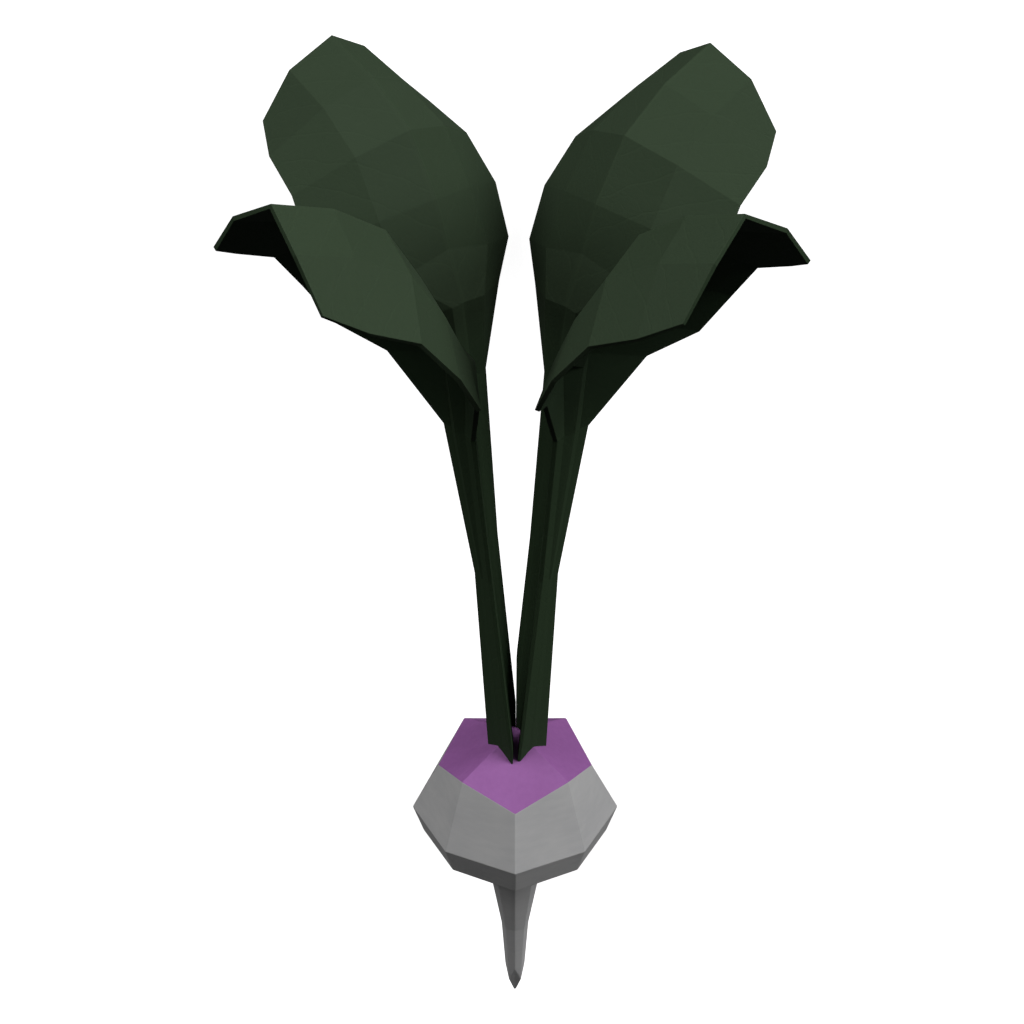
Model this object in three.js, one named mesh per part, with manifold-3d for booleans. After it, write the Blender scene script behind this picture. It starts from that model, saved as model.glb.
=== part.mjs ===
// A young turnip pulled with its leaves on, in millimetres, +Z up. It lies on its back on a
// flat surface: the bulb rests on a small flat spot, and the tips of the two leaves behind
// touch the surface. It is shaped in broad plain facets, as in the photograph.
//
// The plant is drawn upright first, with Z along its axis, z = 0 at the bulb's widest level
// and Y away from the viewer, and is then laid back as a whole.

import * as THREE from 'three';
import { mergeVertices } from 'three/addons/utils/BufferGeometryUtils.js';
import Module from 'manifold-3d';

const wasm = await Module();
wasm.setup();

// The bulb and its root, from the crown down. Every level has four corners, which face the
// four sides, and four middles between them: [corner radius, corner z, middle radius, middle z].
const CROWN_TOP = 28.7;
const LEVELS = [
  [22.2, 15.4, 21.2, 21.0],   // edge of the purple crown, a zigzag
  [30.0, 0.0, 28.2, -0.3],    // widest level
  [26.9, -9.0, 25.4, -8.8],   // where the flanks turn under
  [17.5, -14.6, 16.5, -14.2],
  [8.1, -21.5, 7.8, -21.0],    // neck of the root
  [4.1, -45.0, 4.0, -45.5],
  [3.0, -61.5, 2.6, -67.0],
];
const ROOT_TIP = -73.5;

// One leaf, seen from the plant's axis outward. Each row runs across the leaf: the midrib
// [out, up], the fold beside it [out, sideways, up], the edge [out, sideways, up], and the
// thickness at the midrib, the fold and the edge. The first row is the blunt tip, the next
// five are the blade, and the last three are the stalk down to its foot in the crown.
const ROWS = [
  { rib: [71.0, 216.5], fold: [73.5, 12.5, 209.5], edge: [73.5, 22.0, 198.0], thick: [1.2, 1.2, 1.2] },
  { rib: [54.0, 210.0], fold: [58.0, 13.5, 204.0], edge: [64.5, 27.0, 192.5], thick: [1.3, 1.2, 1.2] },
  { rib: [39.5, 200.0], fold: [43.5, 15.0, 195.5], edge: [52.0, 29.5, 186.5], thick: [1.5, 1.2, 1.2] },
  { rib: [29.5, 184.0], fold: [34.0, 15.5, 181.0], edge: [42.5, 31.5, 174.5], thick: [1.8, 1.3, 1.2] },
  { rib: [25.0, 171.5], fold: [27.0, 15.0, 167.0], edge: [34.5, 29.0, 162.0], thick: [2.4, 1.4, 1.2] },
  { rib: [19.5, 158.0], fold: [17.5, 5.5, 159.0], edge: [26.5, 18.5, 155.5], thick: [3.2, 2.6, 1.3] },
  { rib: [16.5, 137.5], fold: [16.1, 3.7, 137.0], edge: [18.4, 6.4, 136.5], thick: [3.6, 3.0, 1.2] },
  { rib: [9.0, 88.0], fold: [9.6, 2.2, 88.0], edge: [11.2, 3.7, 88.0], thick: [3.1, 2.8, 1.1] },
  { rib: [1.8, 19.5], fold: [2.4, 3.3, 19.5], edge: [5.1, 5.9, 19.5], thick: [3.6, 3.4, 0.8] },
];
const FOOT_ROWS = 2;          // rows of the stalk that reach into the crown
const SEAT_GAP = 0.3;         // clearance between a stalk and its seat in the crown
const STALK_GAP = 0.3;        // clearance between two stalks that crowd together
const PIVOT = 25;             // height on the axis about which each leaf leans

// The four leaves are the same leaf, each turned to its side, with a little natural lean.
// turn: about the axis. out, side: shift of the foot. roll, lean: small tilts. Degrees and mm.
const LEAVES = [
  { name: 'leaf_front_left', turn: 219.6, out: 0.9, side: 1.4, roll: -0.9, lean: 0.9 },
  { name: 'leaf_front_right', turn: 314.1, out: 1.3, side: 0.1, roll: 0.8, lean: 1.0 },
  { name: 'leaf_back_left', turn: 131.5, out: 0.4, side: -0.6, roll: -0.9, lean: -0.5 },
  { name: 'leaf_back_right', turn: 44.0, out: -1.8, side: 0.9, roll: 1.0, lean: -0.4 },
];

const TILT = 10.52;           // degrees that the axis rises toward the leaves as it lies
const ROLL = 3.36;            // degrees that the plant is rolled about its axis as it lies
const FLAT_CUT = 1.53;        // depth of the flat spot worn on the lowest corner of the bulb

const deg = THREE.MathUtils.degToRad;

// A geometry from a list of points and triangles of their indices.
function body(points, triangles) {
  const geometry = new THREE.BufferGeometry();
  geometry.setAttribute('position', new THREE.Float32BufferAttribute(points.flat(), 3));
  geometry.setIndex(triangles.flat());
  return mergeVertices(geometry, 1e-5);
}

// A copy with only its positions left, so that shared corners can be merged.
function stripped(geometry) {
  const plain = geometry.clone();
  plain.deleteAttribute('normal');
  plain.deleteAttribute('uv');
  return plain;
}

function toSolid(geometry) {
  return new wasm.Manifold(new wasm.Mesh({
    numProp: 3,
    vertProperties: new Float32Array(geometry.attributes.position.array),
    triVerts: new Uint32Array(geometry.index.array),
  }));
}

function fromSolid(solid) {
  const mesh = solid.getMesh();
  const geometry = new THREE.BufferGeometry();
  geometry.setAttribute('position', new THREE.Float32BufferAttribute(mesh.vertProperties, 3));
  geometry.setIndex(Array.from(mesh.triVerts));
  return geometry;
}

// Bulb and root as one body. Each four-cornered facet is folded along the diagonal that
// stands out, so that no facet is dented.
function bulbGeometry() {
  const points = [[0, 0, CROWN_TOP]];
  for (const [rCorner, zCorner, rMiddle, zMiddle] of LEVELS) {
    for (let k = 0; k < 8; k += 1) {
      const a = deg(45 * k);
      const [r, z] = k % 2 === 0 ? [rCorner, zCorner] : [rMiddle, zMiddle];
      points.push([r * Math.cos(a), r * Math.sin(a), z]);
    }
  }
  points.push([0, 0, ROOT_TIP]);
  const at = (level, k) => 1 + 8 * level + ((k + 8) % 8);
  const last = LEVELS.length - 1;
  const triangles = [];
  for (let k = 1; k < 8; k += 2) {
    triangles.push([0, at(0, k), at(0, k + 2)]);
    triangles.push([at(0, k), at(0, k + 1), at(0, k + 2)]);
  }
  for (let level = 0; level < last; level += 1) {
    for (let k = 0; k < 8; k += 1) {
      const quad = [at(level, k), at(level + 1, k), at(level + 1, k + 1), at(level, k + 1)];
      const [a, b, c, d] = quad.map((i) => new THREE.Vector3(...points[i]));
      const normal = b.clone().sub(a).cross(c.clone().sub(a));
      const [p, q, r, s] = quad;
      if (d.clone().sub(a).dot(normal) < 0) triangles.push([p, q, r], [p, r, s]);
      else triangles.push([p, q, s], [q, r, s]);
    }
  }
  for (let k = 0; k < 8; k += 1) triangles.push([at(last, k), points.length - 1, at(last, k + 1)]);
  return body(points, triangles);
}

// The upper face of a leaf as rows of five points, from one edge over the midrib to the other.
function upperFace(rows) {
  return rows.map(({ rib, fold, edge }) => [
    [edge[0], -edge[1], edge[2]],
    [fold[0], -fold[1], fold[2]],
    [rib[0], 0, rib[1]],
    [fold[0], fold[1], fold[2]],
    [edge[0], edge[1], edge[2]],
  ].map((p) => new THREE.Vector3(...p)));
}

// Direction out of the upper face at each point of the rows.
function outward(face) {
  return face.map((row, r) => row.map((_, c) => {
    const along = face[Math.min(r + 1, face.length - 1)][c].clone().sub(face[Math.max(r - 1, 0)][c]);
    const across = row[Math.min(c + 1, 4)].clone().sub(row[Math.max(c - 1, 0)]);
    return across.cross(along).normalize();
  }));
}

// A closed leaf: the upper face, the under face one thickness below it, and the rim between
// them. Both faces are split along the same diagonals. With grow above 0 the body is larger
// by that much all round, which makes the seat for it.
function leafGeometry(rows, grow) {
  const face = upperFace(rows);
  const normals = outward(face);
  const points = [];
  const count = rows.length * 5;
  for (const under of [0, 1]) {
    face.forEach((row, r) => row.forEach((p, c) => {
      const [mid, fold, edge] = rows[r].thick;
      const thick = [edge, fold, mid, fold, edge][c];
      const q = p.clone().addScaledVector(normals[r][c], under ? -thick - grow : grow);
      q.y += grow * Math.sign(c - 2) * 1.2;
      q.z -= (PIVOT + (r === rows.length - 1 ? grow : 0));
      points.push([q.x, q.y, q.z]);
    }));
  }
  const at = (r, c) => 5 * r + c;
  const triangles = [];
  const quad = (a, b, c, d) => triangles.push([a, c, b], [a, d, c]);
  for (let r = 0; r + 1 < rows.length; r += 1) {
    for (let c = 0; c < 4; c += 1) {
      const ring = [at(r, c), at(r + 1, c), at(r + 1, c + 1), at(r, c + 1)];
      const [a, b, d, e] = c < 2 ? ring : [ring[1], ring[2], ring[3], ring[0]];
      quad(a, b, d, e);
      quad(count + e, count + d, count + b, count + a);
    }
    quad(at(r, 0), count + at(r, 0), count + at(r + 1, 0), at(r + 1, 0));
    quad(at(r + 1, 4), count + at(r + 1, 4), count + at(r, 4), at(r, 4));
  }
  const foot = rows.length - 1;
  for (let c = 0; c < 4; c += 1) {
    quad(at(0, c), at(0, c + 1), count + at(0, c + 1), count + at(0, c));
    quad(at(foot, c + 1), at(foot, c), count + at(foot, c), count + at(foot, c + 1));
  }
  return body(points, triangles);
}

// Where a leaf stands in the upright plant.
function place(object, leaf) {
  const turned = new THREE.Group();
  turned.rotation.z = deg(leaf.turn);
  object.position.set(leaf.out, leaf.side, PIVOT);
  object.rotation.set(deg(leaf.roll), deg(leaf.lean), 0);
  turned.add(object);
  turned.updateMatrixWorld(true);
  return turned;
}

// The stalks crowd together where they leave the crown, so each is cut back to the plane
// halfway to its neighbour on either side.
function trimmed(geometry, leaf, matrix) {
  const others = LEAVES.filter((other) => other !== leaf);
  const gapTo = (other) => (other.turn - leaf.turn + 360) % 360;
  const nearest = [Math.min(...others.map(gapTo)), Math.max(...others.map(gapTo)) - 360];
  const toLeaf = matrix.clone().invert();
  let solid = toSolid(geometry);
  for (const gap of nearest) {
    const facing = deg(leaf.turn + gap / 2 - Math.sign(gap) * 90);
    const plane = new THREE.Plane(new THREE.Vector3(Math.cos(facing), Math.sin(facing), 0), -STALK_GAP / 2);
    plane.applyMatrix4(toLeaf);
    solid = solid.trimByPlane(plane.normal.toArray(), -plane.constant);
  }
  return fromSolid(solid);
}

// Laid back: what faced away from the viewer now faces down, and the leaves point to +Y.
const laid = new THREE.Quaternion().setFromEuler(new THREE.Euler(-deg(90 - TILT), 0, deg(ROLL)));
const lowestCorner = new THREE.Vector3(0, LEVELS[1][0], LEVELS[1][1]).applyQuaternion(laid);
const flatDepth = -lowestCorner.z - FLAT_CUT;

const skinGrey = new THREE.MeshStandardMaterial({ color: '#9a969c', roughness: 0.6, metalness: 0 });
const leafGreen = new THREE.MeshStandardMaterial({ color: '#3a4a33', roughness: 0.65, metalness: 0 });

// Bulb with the seats of the stalks cut in its crown and the flat spot cut on its back.
let bulbSolid = toSolid(bulbGeometry());
const seatGeometry = leafGeometry(ROWS.slice(-FOOT_ROWS), SEAT_GAP);
for (const leaf of LEAVES) {
  const seat = new THREE.Mesh(seatGeometry.clone());
  place(seat, leaf);
  seat.geometry.applyMatrix4(seat.matrixWorld);
  bulbSolid = bulbSolid.subtract(toSolid(seat.geometry));
}
const plate = new THREE.BoxGeometry(80, 80, 20);
plate.translate(0, 0, -10 - flatDepth);
plate.applyQuaternion(laid.clone().invert());
bulbSolid = bulbSolid.subtract(toSolid(mergeVertices(stripped(plate))));

const plant = new THREE.Group();
const bulb = new THREE.Mesh(fromSolid(bulbSolid), skinGrey);
bulb.name = 'bulb';
plant.add(bulb);

const leafBody = leafGeometry(ROWS, 0);
for (const leaf of LEAVES) {
  const mesh = new THREE.Mesh(leafBody, leafGreen.clone());
  mesh.name = leaf.name;
  plant.add(place(mesh, leaf));
  mesh.geometry = trimmed(leafBody, leaf, mesh.matrixWorld);
}

plant.quaternion.copy(laid);
plant.updateMatrixWorld(true);
const box = new THREE.Box3().setFromObject(plant, true);
plant.position.set(-(box.min.x + box.max.x) / 2, -(box.min.y + box.max.y) / 2, flatDepth);

export default new THREE.Group().add(plant);
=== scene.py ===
"""Looks of a young turnip with its leaves on, lying on its back in broad plain facets."""

import math

import bmesh
import bpy
from bpy.props import FloatProperty, FloatVectorProperty, PointerProperty
from mathutils import Matrix, Vector, noise


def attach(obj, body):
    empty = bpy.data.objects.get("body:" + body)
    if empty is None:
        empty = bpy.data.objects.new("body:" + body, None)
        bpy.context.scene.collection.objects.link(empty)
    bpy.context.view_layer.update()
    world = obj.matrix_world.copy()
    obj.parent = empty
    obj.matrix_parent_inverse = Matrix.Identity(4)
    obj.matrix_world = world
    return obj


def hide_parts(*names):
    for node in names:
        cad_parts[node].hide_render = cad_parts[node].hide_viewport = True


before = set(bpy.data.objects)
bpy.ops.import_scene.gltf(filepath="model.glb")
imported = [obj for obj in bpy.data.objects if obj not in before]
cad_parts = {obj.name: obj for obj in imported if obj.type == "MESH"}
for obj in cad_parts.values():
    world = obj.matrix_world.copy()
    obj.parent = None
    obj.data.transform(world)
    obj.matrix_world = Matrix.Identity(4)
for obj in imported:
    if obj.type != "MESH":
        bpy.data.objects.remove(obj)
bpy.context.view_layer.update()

bl_info = {
    "name": "Faceted Turnip",
    "version": (1, 0, 0),
    "blender": (4, 5, 0),
    "location": "3D View > Sidebar > Turnip",
    "description": "Adds a faceted young turnip with its leaves on, and a pale studio for it",
    "category": "Add Mesh",
}

MM = 0.001

# How the plant lies, in millimetres and degrees. It is drawn upright, with Z along its axis,
# and laid back with its leaves towards +Y.
LIE_TILT = 10.52
LIE_ROLL = 3.36
LIE_AT = (-1.011, -74.944, 27.915)

# Bulb and root from the crown down, each level with four corners that face the four sides
# and four middles between them: corner radius, corner height, middle radius, middle height.
CROWN_TOP = 28.7
BULB_LEVELS = (
    (22.2, 15.4, 21.2, 21.0),
    (30.0, 0.0, 28.2, -0.3),
    (26.9, -9.0, 25.4, -8.8),
    (17.5, -14.6, 16.5, -14.2),
    (8.1, -21.5, 7.8, -21.0),
    (4.1, -45.0, 4.0, -45.5),
    (3.0, -61.5, 2.6, -67.0),
)
ROOT_TIP = -73.5

# One leaf from its blunt tip to its foot in the crown. Each row gives the midrib (out, up),
# the fold beside it and the edge (out, sideways, up), and the thickness at all three.
LEAF_ROWS = (
    ((71.0, 216.5), (73.5, 12.5, 209.5), (73.5, 22.0, 198.0), (1.2, 1.2, 1.2)),
    ((54.0, 210.0), (58.0, 13.5, 204.0), (64.5, 27.0, 192.5), (1.3, 1.2, 1.2)),
    ((39.5, 200.0), (43.5, 15.0, 195.5), (52.0, 29.5, 186.5), (1.5, 1.2, 1.2)),
    ((29.5, 184.0), (34.0, 15.5, 181.0), (42.5, 31.5, 174.5), (1.8, 1.3, 1.2)),
    ((25.0, 171.5), (27.0, 15.0, 167.0), (34.5, 29.0, 162.0), (2.4, 1.4, 1.2)),
    ((19.5, 158.0), (17.5, 5.5, 159.0), (26.5, 18.5, 155.5), (3.2, 2.6, 1.3)),
    ((16.5, 137.5), (16.1, 3.7, 137.0), (18.4, 6.4, 136.5), (3.6, 3.0, 1.2)),
    ((9.0, 88.0), (9.6, 2.2, 88.0), (11.2, 3.7, 88.0), (3.1, 2.8, 1.1)),
    ((1.8, 19.5), (2.4, 3.3, 19.5), (5.1, 5.9, 19.5), (3.6, 3.4, 0.8)),
)
LEAF_PIVOT = 25.0    # height on the axis about which each leaf leans
STALK_GAP = 0.3      # left between two stalks that crowd together at the crown

# Each leaf's turn about the axis, the shift of its foot out and sideways, its roll and lean.
LEAVES = {
    "leaf_front_left": (219.6, 0.9, 1.4, -0.9, 0.9),
    "leaf_front_right": (314.1, 1.3, 0.1, 0.8, 1.0),
    "leaf_back_left": (131.5, 0.4, -0.6, -0.9, -0.5),
    "leaf_back_right": (44.0, -1.8, 0.9, 1.0, -0.4),
}

# Marks on the skins, in millimetres. Real pores are about 0.2 mm high and real side veins
# 0.4 mm wide; these are drawn larger, so that they show.
CLOUD_SIZE = 15.0
STREAK_SIZE = 1.6
PORE_SPACING = 4.5
VEIN_HALF = (0.1, 0.55)
MIDRIB_HALF = (0.4, 1.3)
NET_SIZE = 2.6
LEAF_CLOUD_SIZE = 9.0
LEAF_GRAIN_SIZE = 0.9
FACET_TONE_SIZE = 19.0
MARK_SHOWS = 0.05    # how much of a pore's or a vein's own colour is mixed in

# Where a leaf's colour changes, in millimetres along the midrib from its tip: painted shade
# darkens the blade towards its base, then the stalk's green, also darkened with painted shade,
# begins.
BASE_SHADE_SPAN = (45.0, 82.0)
STALK_BEGINS = (86.0, 104.0)

# The least angle between two faces that makes their shared edge a rounded one.
ROUNDED_FROM = math.radians(4)

# The studio: floor in metres, lamps by the direction that their light comes from, and the
# point of the upright plant, in millimetres, that the camera looks at.
FLOOR_HALF = 10.0
LAMP_SPREAD = math.radians(46)
KEY_FROM = (0.71, 0.65, 0.29)
SECOND_FROM = (-0.58, 0.74, 0.34)
LOOK_AT = (-0.91, 0, 101.74)
SENSOR = 36.0


def linear(hex_colour):
    """Linear RGB of an sRGB hex colour."""
    parts = [int(hex_colour[i:i + 2], 16) / 255 for i in (1, 3, 5)]
    return tuple(c / 12.92 if c <= 0.04045 else ((c + 0.055) / 1.055) ** 2.4 for c in parts)


def rgba(colour):
    """The colour with full alpha, for a node's socket."""
    return (*colour, 1.0)


def colour_prop(name, description, default):
    """A colour setting whose default is an sRGB hex value."""
    return FloatVectorProperty(name=name, description=description, default=linear(default),
                               subtype="COLOR", size=3, min=0.0, max=1.0)


def lying():
    """Matrix that takes the upright plant to where it lies, both in metres."""
    back = Matrix.Rotation(math.radians(LIE_TILT - 90), 4, "X")
    roll = Matrix.Rotation(math.radians(LIE_ROLL), 4, "Z")
    return Matrix.Translation(Vector(LIE_AT) * MM) @ back @ roll


class BulbSettings(bpy.types.PropertyGroup):
    """Finish of the bulb and its root."""

    skin: colour_prop("Skin", "Off-white skin of the bulb and the root", "#acacac")
    skin_shade: colour_prop("Skin shade", "Darker clouds in the skin", "#a3a3a4")
    crown: colour_prop("Crown", "Purple skin of the crown", "#8f5a98")
    crown_shade: colour_prop("Crown shade", "Darker streaks in the purple", "#885490")
    rounding: FloatProperty(
        name="Edge rounding", description="Width of the rounded edge between two facets",
        default=0.5 * MM, min=0.1 * MM, max=1.0 * MM, precision=5, unit="LENGTH")


class LeafSettings(bpy.types.PropertyGroup):
    """Finish of the four leaves."""

    blade: colour_prop("Blade", "Green of the blade's upper face", "#32402e")
    blade_grey: colour_prop("Blade bloom", "Greyer green where the bloom is thicker", "#354232")
    # Painted shade: a deeper green towards the blade's cupped base, where less light reaches.
    base: colour_prop("Blade base shade", "Deeper green where the blade narrows to the stalk", "#1f291c")
    # Painted shade: the under face is darker than the blade's upper face.
    under: colour_prop("Under face shade", "Deep green of the blade's under face", "#2a3828")
    # Painted shade: the stalk's green is darker for the shade that the blades above cast on it.
    stalk: colour_prop("Shaded stalk", "Dark green of the stalk", "#2c3b29")
    # The cut edge's own green, made a little darker than the blade with painted shade.
    shaded_rim: colour_prop("Shaded rim", "Cut edge of the blade, darker with painted shade", "#2e3c2b")
    rounding: FloatProperty(
        name="Edge rounding", description="Width of the rounded edge between two facets",
        default=0.3 * MM, min=0.1 * MM, max=0.4 * MM, precision=5, unit="LENGTH")
    vein_gap: FloatProperty(
        name="Vein spacing", description="Distance between two side veins along the midrib",
        default=11 * MM, min=4 * MM, max=25 * MM, precision=4, unit="LENGTH")


class StageSettings(bpy.types.PropertyGroup):
    """Floor, light and camera."""

    floor: colour_prop("Floor", "Pale floor", "#f7f7f7")
    elevation: FloatProperty(
        name="Elevation", description="How far above the plant's own level the camera looks down",
        default=math.radians(32.11), subtype="ANGLE", unit="ROTATION")
    distance: FloatProperty(
        name="Distance", description="From the camera to the middle of the plant",
        default=616.4 * MM, min=0.1, unit="LENGTH")
    lens: FloatProperty(
        name="Focal length", description="Focal length in millimetres, on a 36 mm sensor",
        default=80.49, min=10, max=300)
    key: FloatProperty(
        name="Key light", description="Strength of the soft light from the right",
        default=2.9, min=0.0)
    second: FloatProperty(
        name="Second light", description="Strength of the soft light from the left",
        default=1.85, min=0.0)
    fill: FloatProperty(
        name="Fill light", description="Strength of the light all round",
        default=0.045, min=0.0)
    glow: FloatProperty(
        name="Floor glow", description="How far the floor is lit from within",
        default=0.92, min=0.0)


def add_node(tree, kind, inputs=None, **settings):
    """Adds a node with its settings; inputs gives each socket a value or another's output."""
    made = tree.nodes.new(kind)
    for key, value in settings.items():
        setattr(made, key, value)
    for key, value in (inputs or {}).items():
        if isinstance(value, bpy.types.NodeSocket):
            tree.links.new(value, made.inputs[key])
        else:
            made.inputs[key].default_value = value
    return made


def new_material(name):
    """An empty node material and its tree."""
    material = bpy.data.materials.new(name)
    material.use_nodes = True
    material.node_tree.nodes.clear()
    return material, material.node_tree


def root_skin(name, base, shade, crown):
    """Living root skin, washed: a thin satin skin that looks almost matt.

    It gives the eye soft clouds about 15 mm across, faint rings round the root, short pores
    and a low broad gloss. The crown has the same skin with streaks that run down from the top.
    """
    material, tree = new_material(name)
    place = add_node(tree, "ShaderNodeTexCoord").outputs["Object"]
    upright = add_node(tree, "ShaderNodeMapping", {
        "Vector": place,
        "Location": lying().inverted().to_translation(),
        "Rotation": lying().inverted().to_euler(),
    }).outputs["Vector"]
    clouds = add_node(tree, "ShaderNodeTexNoise", {
        "Vector": upright, "Scale": 1 / (CLOUD_SIZE * MM), "Detail": 3.0, "Roughness": 0.5})
    stretch = (0.25, 0.25, 1.0) if not crown else (1.0, 1.0, 0.3)
    drawn = add_node(tree, "ShaderNodeMapping", {
        "Vector": upright, "Scale": stretch}).outputs["Vector"]
    streaks = add_node(tree, "ShaderNodeTexNoise", {
        "Vector": drawn, "Scale": 1 / (STREAK_SIZE * MM), "Detail": 2.0, "Roughness": 0.6})
    pores = add_node(tree, "ShaderNodeTexVoronoi", {
        "Vector": drawn, "Scale": 1 / (PORE_SPACING * MM), "Randomness": 1.0})
    pore = add_node(tree, "ShaderNodeMapRange", {
        "Value": pores.outputs["Distance"], "From Min": 0.05, "From Max": 0.16,
        "To Min": 1.0, "To Max": 0.0}, interpolation_type="SMOOTHSTEP").outputs["Result"]
    mixed = add_node(tree, "ShaderNodeMath", {
        0: clouds.outputs["Fac"], 1: 0.6}, operation="MULTIPLY")
    mixed = add_node(tree, "ShaderNodeMath", {
        0: streaks.outputs["Fac"], 1: 0.4, 2: mixed.outputs[0]}, operation="MULTIPLY_ADD")
    amount = add_node(tree, "ShaderNodeMapRange", {
        "Value": mixed.outputs[0], "From Min": 0.35, "From Max": 0.65}).outputs["Result"]
    colour = add_node(tree, "ShaderNodeMix", {
        "Factor": amount, "A": rgba(base), "B": rgba(shade)}, data_type="RGBA").outputs["Result"]
    marked = add_node(tree, "ShaderNodeMath", {
        0: pore, 1: MARK_SHOWS}, operation="MULTIPLY").outputs[0]
    colour = add_node(tree, "ShaderNodeMix", {
        "Factor": marked, "A": colour, "B": rgba([0.35 * c for c in shade])},
        data_type="RGBA").outputs["Result"]
    rough = add_node(tree, "ShaderNodeMapRange", {
        "Value": streaks.outputs["Fac"], "To Min": 0.5, "To Max": 0.66}).outputs["Result"]
    height = add_node(tree, "ShaderNodeMath", {
        0: pore, 1: -0.7, 2: streaks.outputs["Fac"]}, operation="MULTIPLY_ADD").outputs[0]
    bump = add_node(tree, "ShaderNodeBump", {
        "Height": height, "Strength": 0.35, "Distance": 0.08 * MM}).outputs["Normal"]
    skin = add_node(tree, "ShaderNodeBsdfPrincipled", {
        "Base Color": colour, "Roughness": rough, "Normal": bump, "IOR": 1.42,
        "Specular IOR Level": 0.35})
    add_node(tree, "ShaderNodeOutputMaterial", {"Surface": skin.outputs["BSDF"]})
    return material


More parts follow.
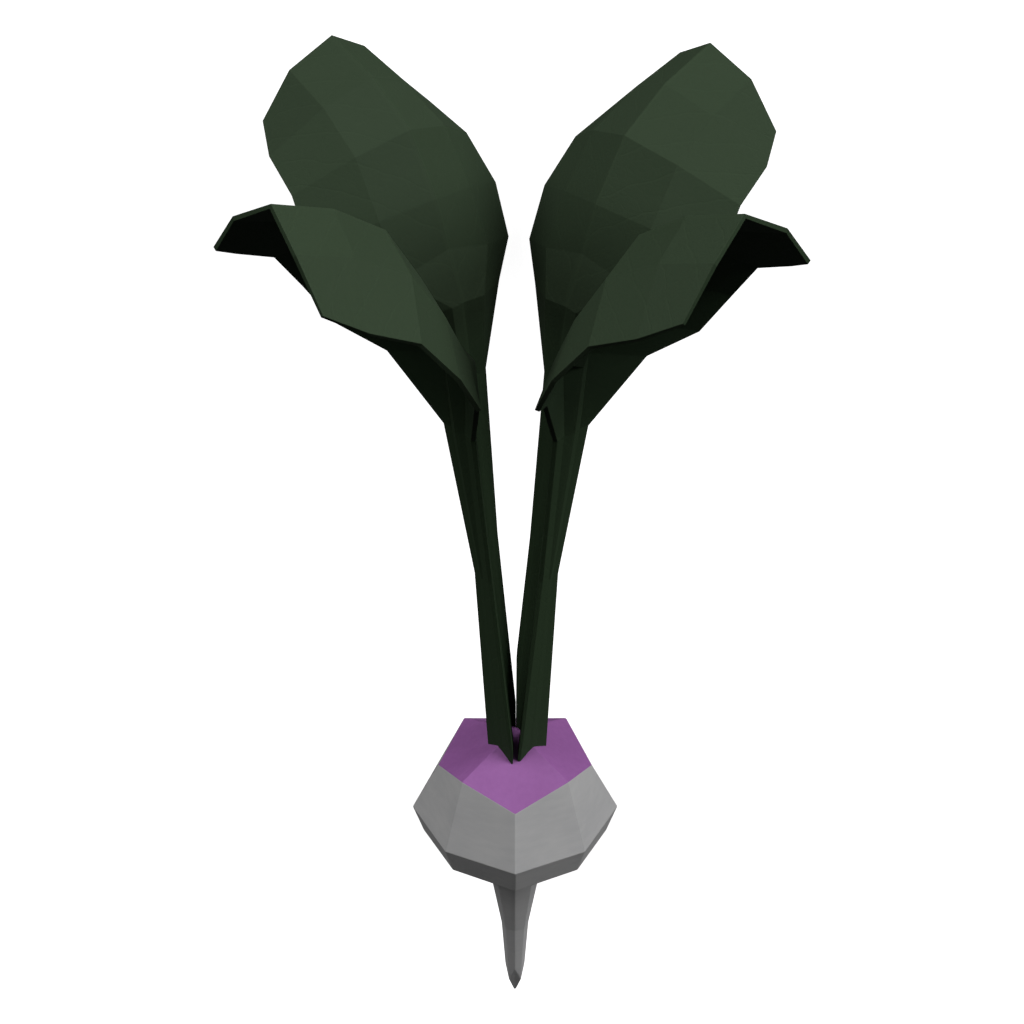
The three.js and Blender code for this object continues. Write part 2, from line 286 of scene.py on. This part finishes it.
def leaf_skin(name, looks):
    """Living turnip leaf: a tough blade under a thin waxy bloom.

    It gives the eye a matt dark green that turns greyer from facet to facet, a paler midrib
    and side veins with a fine net between them, and painted shade: the blade darkens towards
    its base, and the cut edge, the under face and the stalk are a darker green.
    """
    material, tree = new_material(name)
    lay = add_node(tree, "ShaderNodeAttribute", attribute_name="leaf_lay").outputs["Vector"]
    side = add_node(tree, "ShaderNodeAttribute", attribute_name="leaf_side").outputs["Fac"]
    tone = add_node(tree, "ShaderNodeAttribute", attribute_name="facet_tone").outputs["Fac"]
    split = add_node(tree, "ShaderNodeSeparateXYZ", {"Vector": lay})
    across = add_node(tree, "ShaderNodeMath", {
        0: split.outputs["X"]}, operation="ABSOLUTE").outputs[0]
    along = split.outputs["Y"]
    wander = add_node(tree, "ShaderNodeTexNoise", {
        "Vector": lay, "Scale": 1 / (LEAF_CLOUD_SIZE * MM), "Detail": 2.0}).outputs["Fac"]
    grain = add_node(tree, "ShaderNodeTexNoise", {
        "Vector": lay, "Scale": 1 / (LEAF_GRAIN_SIZE * MM), "Detail": 2.0,
        "Roughness": 0.6}).outputs["Fac"]
    slant = add_node(tree, "ShaderNodeMath", {
        0: across, 1: 0.9, 2: along}, operation="MULTIPLY_ADD")
    slant = add_node(tree, "ShaderNodeMath", {
        0: wander, 1: 5 * MM, 2: slant.outputs[0]}, operation="MULTIPLY_ADD")
    to_vein = add_node(tree, "ShaderNodeMath", {
        0: slant.outputs[0], 1: looks.vein_gap / 2}, operation="PINGPONG").outputs[0]
    side_vein = add_node(tree, "ShaderNodeMapRange", {
        "Value": to_vein, "From Min": VEIN_HALF[0] * MM, "From Max": VEIN_HALF[1] * MM,
        "To Min": 1.0, "To Max": 0.0}, interpolation_type="SMOOTHSTEP").outputs["Result"]
    midrib = add_node(tree, "ShaderNodeMapRange", {
        "Value": across, "From Min": MIDRIB_HALF[0] * MM, "From Max": MIDRIB_HALF[1] * MM,
        "To Min": 1.0, "To Max": 0.0}, interpolation_type="SMOOTHSTEP").outputs["Result"]
    net = add_node(tree, "ShaderNodeTexVoronoi", {
        "Vector": lay, "Scale": 1 / (NET_SIZE * MM)},
        feature="DISTANCE_TO_EDGE").outputs["Distance"]
    net = add_node(tree, "ShaderNodeMapRange", {
        "Value": net, "From Min": 0.02, "From Max": 0.12, "To Min": 0.35, "To Max": 0.0},
        interpolation_type="SMOOTHSTEP").outputs["Result"]
    veins = add_node(tree, "ShaderNodeMath", {0: side_vein, 1: midrib}, operation="MAXIMUM")
    veins = add_node(tree, "ShaderNodeMath", {
        0: veins.outputs[0], 1: net}, operation="MAXIMUM").outputs[0]
    cloudy = add_node(tree, "ShaderNodeMath", {
        0: wander, 1: 0.3, 2: tone}, operation="MULTIPLY_ADD")
    cloudy = add_node(tree, "ShaderNodeMath", {
        0: grain, 1: 0.2, 2: cloudy.outputs[0]},
        operation="MULTIPLY_ADD", use_clamp=True).outputs[0]
    blade = add_node(tree, "ShaderNodeMix", {
        "Factor": cloudy, "A": rgba(looks.blade), "B": rgba(looks.blade_grey)},
        data_type="RGBA").outputs["Result"]
    # Painted shade: the blade darkens towards its cupped base.
    base_shade = add_node(tree, "ShaderNodeMapRange", {
        "Value": along, "From Min": BASE_SHADE_SPAN[0] * MM, "From Max": BASE_SHADE_SPAN[1] * MM},
        interpolation_type="SMOOTHSTEP").outputs["Result"]
    blade = add_node(tree, "ShaderNodeMix", {
        "Factor": base_shade, "A": blade, "B": rgba(looks.base)}, data_type="RGBA").outputs["Result"]
    # Along the stalk its green takes over, darkened with painted shade from the blades above.
    down = add_node(tree, "ShaderNodeMapRange", {
        "Value": along, "From Min": STALK_BEGINS[0] * MM,
        "From Max": STALK_BEGINS[1] * MM}).outputs["Result"]
    green = add_node(tree, "ShaderNodeMix", {
        "Factor": down, "A": blade, "B": rgba(looks.stalk)}, data_type="RGBA").outputs["Result"]
    pale = add_node(tree, "ShaderNodeMath", {
        0: veins, 1: MARK_SHOWS}, operation="MULTIPLY").outputs[0]
    green = add_node(tree, "ShaderNodeMix", {
        "Factor": pale, "A": green, "B": rgba([1.6 * c for c in looks.blade])},
        data_type="RGBA").outputs["Result"]
    # The cut edge and the under face of the blade get their own greens, both darkened with painted
    # shade.
    shaded_rim = add_node(tree, "ShaderNodeMath", {
        0: side, 1: 0.5, 2: 0.1}, operation="COMPARE").outputs[0]
    below = add_node(tree, "ShaderNodeMath", {
        0: side, 1: 0.75}, operation="GREATER_THAN").outputs[0]
    on_blade = add_node(tree, "ShaderNodeMath", {
        0: 1.0, 1: down}, operation="SUBTRACT").outputs[0]
    shaded_rim, below = (add_node(tree, "ShaderNodeMath", {
        0: part, 1: on_blade}, operation="MULTIPLY").outputs[0] for part in (shaded_rim, below))
    green = add_node(tree, "ShaderNodeMix", {
        "Factor": shaded_rim, "A": green, "B": rgba(looks.shaded_rim)}, data_type="RGBA").outputs["Result"]
    green = add_node(tree, "ShaderNodeMix", {
        "Factor": below, "A": green, "B": rgba(looks.under)}, data_type="RGBA").outputs["Result"]
    rough = add_node(tree, "ShaderNodeMapRange", {
        "Value": grain, "To Min": 0.66, "To Max": 0.8}).outputs["Result"]
    height = add_node(tree, "ShaderNodeMath", {
        0: veins, 1: -1.0, 2: grain}, operation="MULTIPLY_ADD").outputs[0]
    bump = add_node(tree, "ShaderNodeBump", {
        "Height": height, "Strength": 0.3, "Distance": 0.1 * MM}).outputs["Normal"]
    skin = add_node(tree, "ShaderNodeBsdfPrincipled", {
        "Base Color": green, "Roughness": rough, "Normal": bump, "IOR": 1.42,
        "Specular IOR Level": 0.06})
    add_node(tree, "ShaderNodeOutputMaterial", {"Surface": skin.outputs["BSDF"]})
    return material


def show_piece(name, mesh_data, materials, rounding, node):
    """Makes the finished piece, rounds its facets' edges and hands it to the frame."""
    mesh = bpy.data.meshes.new(name)
    mesh_data.to_mesh(mesh)
    mesh_data.free()
    for material in materials:
        mesh.materials.append(material)
    mesh.shade_smooth()
    piece = bpy.data.objects.new(name, mesh)
    bpy.context.scene.collection.objects.link(piece)
    edge = piece.modifiers.new("Rounded edges", "BEVEL")
    edge.width = rounding
    edge.segments = 2
    edge.profile = 0.5
    edge.limit_method = "ANGLE"
    edge.angle_limit = ROUNDED_FROM
    edge.harden_normals = True
    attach(piece, "root")
    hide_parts(node)
    return piece


def set_ring(verts, level):
    """Moves one ring of eight points to a level of the bulb."""
    corner, corner_up, middle, middle_up = level
    for v in verts:
        eighth = round(math.degrees(math.atan2(v.co.y, v.co.x)) / 45)
        radius, up = (middle, middle_up) if eighth % 2 else (corner, corner_up)
        angle = math.radians(45 * eighth)
        v.co = Vector((radius * math.cos(angle), radius * math.sin(angle), up)) * MM


def close_ring(bm, ring, height):
    """Closes a ring with facets that meet in one point on the axis."""
    cap = bmesh.ops.contextual_create(bm, geom=ring)["faces"]
    poked = bmesh.ops.poke(bm, faces=cap)
    poked["verts"][0].co = (0, 0, height * MM)
    return poked["verts"][0], poked["faces"]


def cut_flat(bm, towards, distance=0.0):
    """Cuts away all that lies behind a plane, and closes the cut."""
    bmesh.ops.bisect_plane(bm, geom=bm.verts[:] + bm.edges[:] + bm.faces[:], dist=1e-6,
                           plane_co=towards * distance, plane_no=towards, clear_inner=True)
    bmesh.ops.holes_fill(bm, edges=[e for e in bm.edges if e.is_boundary], sides=0)
    bmesh.ops.recalc_face_normals(bm, faces=bm.faces)


def bulb_shape():
    """The bulb with its crown and root, laid down and cut flat where it rests."""
    bm = bmesh.new()
    ring = bmesh.ops.create_circle(bm, segments=8, radius=1.0)["verts"]
    set_ring(ring, BULB_LEVELS[0])
    crown_ring = edges = bm.edges[:]
    for level in BULB_LEVELS[1:]:
        grown = bmesh.ops.extrude_edge_only(bm, edges=edges)["geom"]
        edges = [g for g in grown if isinstance(g, bmesh.types.BMEdge)]
        set_ring([g for g in grown if isinstance(g, bmesh.types.BMVert)], level)
    close_ring(bm, edges, ROOT_TIP)
    top, facets = close_ring(bm, crown_ring, CROWN_TOP)
    halfway = (BULB_LEVELS[0][1] + BULB_LEVELS[0][3]) / 2
    seams = [e for e in top.link_edges if e.other_vert(top).co.z < halfway * MM]
    bmesh.ops.dissolve_edges(bm, edges=seams)
    for facet in top.link_faces:
        facet.material_index = 1
    bmesh.ops.recalc_face_normals(bm, faces=bm.faces)
    bmesh.ops.transform(bm, matrix=lying(), verts=bm.verts)
    cut_flat(bm, Vector((0, 0, 1)))
    return bm


def leaf_point(row, column):
    """Point of the upper face and the thickness there; column 2 is the midrib."""
    rib, fold, edge, (mid_thick, fold_thick, edge_thick) = LEAF_ROWS[row]
    hand = math.copysign(1, column - 2)
    if column == 2:
        return Vector((rib[0], 0, rib[1])) * MM, mid_thick * MM
    out, beside, up = fold if column in (1, 3) else edge
    thick = fold_thick if column in (1, 3) else edge_thick
    return Vector((out, hand * beside, up)) * MM, thick * MM


def outward(row, column):
    """Direction out of the upper face at a point of the rows."""
    last = len(LEAF_ROWS) - 1
    along = leaf_point(min(row + 1, last), column)[0] - leaf_point(max(row - 1, 0), column)[0]
    across = leaf_point(row, min(column + 1, 4))[0] - leaf_point(row, max(column - 1, 0))[0]
    return across.cross(along).normalized()


def trim_stalk(bm, turn):
    """Cuts the stalk back to the planes halfway to its two neighbours at the crown."""
    gaps = [(other[0] - turn) % 360 for other in LEAVES.values() if other[0] != turn]
    for half, facing in ((min(gaps) / 2, -90), ((max(gaps) - 360) / 2, 90)):
        angle = math.radians(turn + half + facing)
        cut_flat(bm, Vector((math.cos(angle), math.sin(angle), 0)), STALK_GAP / 2 * MM)


def leaf_shape(turn, out, beside, roll, lean):
    """One leaf where it stands in the lying plant, with its facets marked."""
    bm = bmesh.new()
    lay = bm.verts.layers.float_vector.new("leaf_lay")
    depth = bm.verts.layers.float_vector.new("leaf_depth")
    side = bm.faces.layers.float.new("leaf_side")
    tone = bm.faces.layers.float.new("facet_tone")
    rows = len(LEAF_ROWS) - 1
    bmesh.ops.create_grid(bm, x_segments=4, y_segments=rows, size=1.0)
    for v in bm.verts:
        column, row = round((v.co.x + 1) * 2), round((v.co.y + 1) * rows / 2)
        point, thick = leaf_point(row, column)
        rib = [leaf_point(r, 2)[0] for r in range(row + 1)]
        walked = sum((b - a).length for a, b in zip(rib, rib[1:]))
        aside = (point - rib[-1]).length * math.copysign(1, column - 2)
        v[lay] = (aside, walked, 0)
        v[depth] = outward(row, column) * thick
        v.co = point
    under = bmesh.ops.extrude_face_region(bm, geom=bm.faces[:], use_keep_orig=True)["geom"]
    for g in under:
        if isinstance(g, bmesh.types.BMVert):
            g.co -= g[depth]
    below = {g for g in under if isinstance(g, bmesh.types.BMFace)}
    for f in bm.faces:
        if f in below:
            f[side] = 1.0
        elif min(len({round(v[lay][axis], 6) for v in f.verts}) for axis in (0, 1)) < 2:
            f[side] = 0.5
        middle = f.calc_center_median() / (FACET_TONE_SIZE * MM)
        f[tone] = 0.5 + 0.5 * noise.noise(middle + Vector((turn, 0, 0)))
    bmesh.ops.recalc_face_normals(bm, faces=bm.faces)
    bm.verts.layers.float_vector.remove(depth)
    leaning = (Matrix.Translation(Vector((out, beside, LEAF_PIVOT)) * MM)
               @ Matrix.Rotation(math.radians(roll), 4, "X")
               @ Matrix.Rotation(math.radians(lean), 4, "Y")
               @ Matrix.Translation((0, 0, -LEAF_PIVOT * MM)))
    bmesh.ops.transform(bm, verts=bm.verts,
                        matrix=Matrix.Rotation(math.radians(turn), 4, "Z") @ leaning)
    trim_stalk(bm, turn)
    bmesh.ops.transform(bm, verts=bm.verts, matrix=lying())
    return bm


class TURNIP_OT_add_bulb(bpy.types.Operator):
    """Adds the bulb with its purple crown and its root"""

    bl_idname = "turnip.add_bulb"
    bl_label = "Add Bulb"

    def execute(self, context):
        looks = context.scene.turnip_bulb
        skins = [root_skin("Root skin, washed", looks.skin, looks.skin_shade, False),
                 root_skin("Purple top skin", looks.crown, looks.crown_shade, True)]
        show_piece("turnip_bulb", bulb_shape(), skins, looks.rounding, "bulb")
        return {"FINISHED"}


class TURNIP_OT_add_leaves(bpy.types.Operator):
    """Adds the four leaves with their stalks"""

    bl_idname = "turnip.add_leaves"
    bl_label = "Add Leaves"

    def execute(self, context):
        looks = context.scene.turnip_leaf
        skin = leaf_skin("Turnip leaf, waxy", looks)
        for name, stand in LEAVES.items():
            show_piece("turnip_" + name, leaf_shape(*stand), [skin], looks.rounding, name)
        return {"FINISHED"}


class TURNIP_OT_add_stage(bpy.types.Operator):
    """Adds the pale floor, the soft light and the camera"""

    bl_idname = "turnip.add_stage"
    bl_label = "Add Stage"

    def execute(self, context):
        looks = context.scene.turnip_stage
        scene = context.scene
        bm = bmesh.new()
        bmesh.ops.create_grid(bm, x_segments=1, y_segments=1, size=FLOOR_HALF)
        mesh = bpy.data.meshes.new("studio_floor")
        bm.to_mesh(mesh)
        bm.free()
        floor = bpy.data.objects.new("studio_floor", mesh)
        scene.collection.objects.link(floor)
        mesh.materials.append(self.floor_paint(looks))

        # The floor throws no light back up, so that the under faces stay deep.
        floor.visible_diffuse = False
        floor.visible_glossy = False
        for name, strength, towards in (("soft_key", looks.key, KEY_FROM),
                                        ("soft_second", looks.second, SECOND_FROM)):
            sun = bpy.data.lights.new(name, "SUN")
            sun.energy = strength
            sun.angle = LAMP_SPREAD
            lamp = bpy.data.objects.new(name, sun)
            lamp.rotation_euler = Vector(towards).to_track_quat("Z", "Y").to_euler()
            scene.collection.objects.link(lamp)

        world = bpy.data.worlds.new("studio_light")
        world.use_nodes = True
        world.node_tree.nodes.clear()
        seen = add_node(world.node_tree, "ShaderNodeLightPath").outputs["Is Camera Ray"]
        soft = add_node(world.node_tree, "ShaderNodeMix", {
            "Factor": seen, "A": looks.fill, "B": 1.0}, data_type="FLOAT").outputs["Result"]
        sky = add_node(world.node_tree, "ShaderNodeBackground", {
            "Color": (1, 1, 1, 1), "Strength": soft})
        add_node(world.node_tree, "ShaderNodeOutputWorld", {"Surface": sky.outputs[0]})
        scene.world = world
        scene.view_settings.view_transform = "Standard"

        lens = bpy.data.cameras.new("camera")
        lens.lens = looks.lens
        lens.sensor_width = SENSOR
        camera = bpy.data.objects.new("camera", lens)
        scene.collection.objects.link(camera)
        away = Vector((0, -math.cos(looks.elevation), math.sin(looks.elevation)))
        upright = (Matrix.Translation(Vector(LOOK_AT) * MM + away * looks.distance)
                   @ Matrix.Rotation(math.radians(90) - looks.elevation, 4, "X"))
        camera.matrix_world = lying() @ upright
        scene.camera = camera
        return {"FINISHED"}

    @staticmethod
    def floor_paint(looks):
        """Matt white studio paint: an even pale floor with hardly any grain."""
        material, tree = new_material("Studio floor, matt paint")
        place = add_node(tree, "ShaderNodeTexCoord").outputs["Object"]
        mottle = add_node(tree, "ShaderNodeTexNoise", {
            "Vector": place, "Scale": 6.0}).outputs["Fac"]
        colour = add_node(tree, "ShaderNodeMix", {
            "Factor": mottle, "A": rgba(looks.floor), "B": rgba([0.985 * c for c in looks.floor])},
            data_type="RGBA").outputs["Result"]
        paint = add_node(tree, "ShaderNodeBsdfPrincipled", {
            "Base Color": colour, "Roughness": 0.9, "Specular IOR Level": 0.0,
            "Emission Color": rgba(looks.floor), "Emission Strength": looks.glow})
        add_node(tree, "ShaderNodeOutputMaterial", {"Surface": paint.outputs["BSDF"]})
        return material


class TURNIP_PT_panel(bpy.types.Panel):
    """Lists the turnip's pieces and their settings"""

    bl_idname = "TURNIP_PT_panel"
    bl_label = "Turnip"
    bl_space_type = "VIEW_3D"
    bl_region_type = "UI"
    bl_category = "Turnip"

    def draw(self, context):
        for group, operator in ((context.scene.turnip_bulb, TURNIP_OT_add_bulb),
                                (context.scene.turnip_leaf, TURNIP_OT_add_leaves),
                                (context.scene.turnip_stage, TURNIP_OT_add_stage)):
            column = self.layout.column(align=True)
            for name in group.__annotations__:
                column.prop(group, name)
            column.operator(operator.bl_idname)


CLASSES = (BulbSettings, LeafSettings, StageSettings, TURNIP_OT_add_bulb, TURNIP_OT_add_leaves,
           TURNIP_OT_add_stage, TURNIP_PT_panel)


def register():
    for item in CLASSES:
        bpy.utils.register_class(item)
    bpy.types.Scene.turnip_bulb = PointerProperty(type=BulbSettings)
    bpy.types.Scene.turnip_leaf = PointerProperty(type=LeafSettings)
    bpy.types.Scene.turnip_stage = PointerProperty(type=StageSettings)


def unregister():
    del bpy.types.Scene.turnip_bulb, bpy.types.Scene.turnip_leaf, bpy.types.Scene.turnip_stage
    for item in reversed(CLASSES):
        bpy.utils.unregister_class(item)


def main():
    """Builds the turnip and its stage."""
    register()
    bpy.ops.turnip.add_bulb()
    bpy.ops.turnip.add_leaves()
    bpy.ops.turnip.add_stage()


if __name__ == "__main__":
    main()
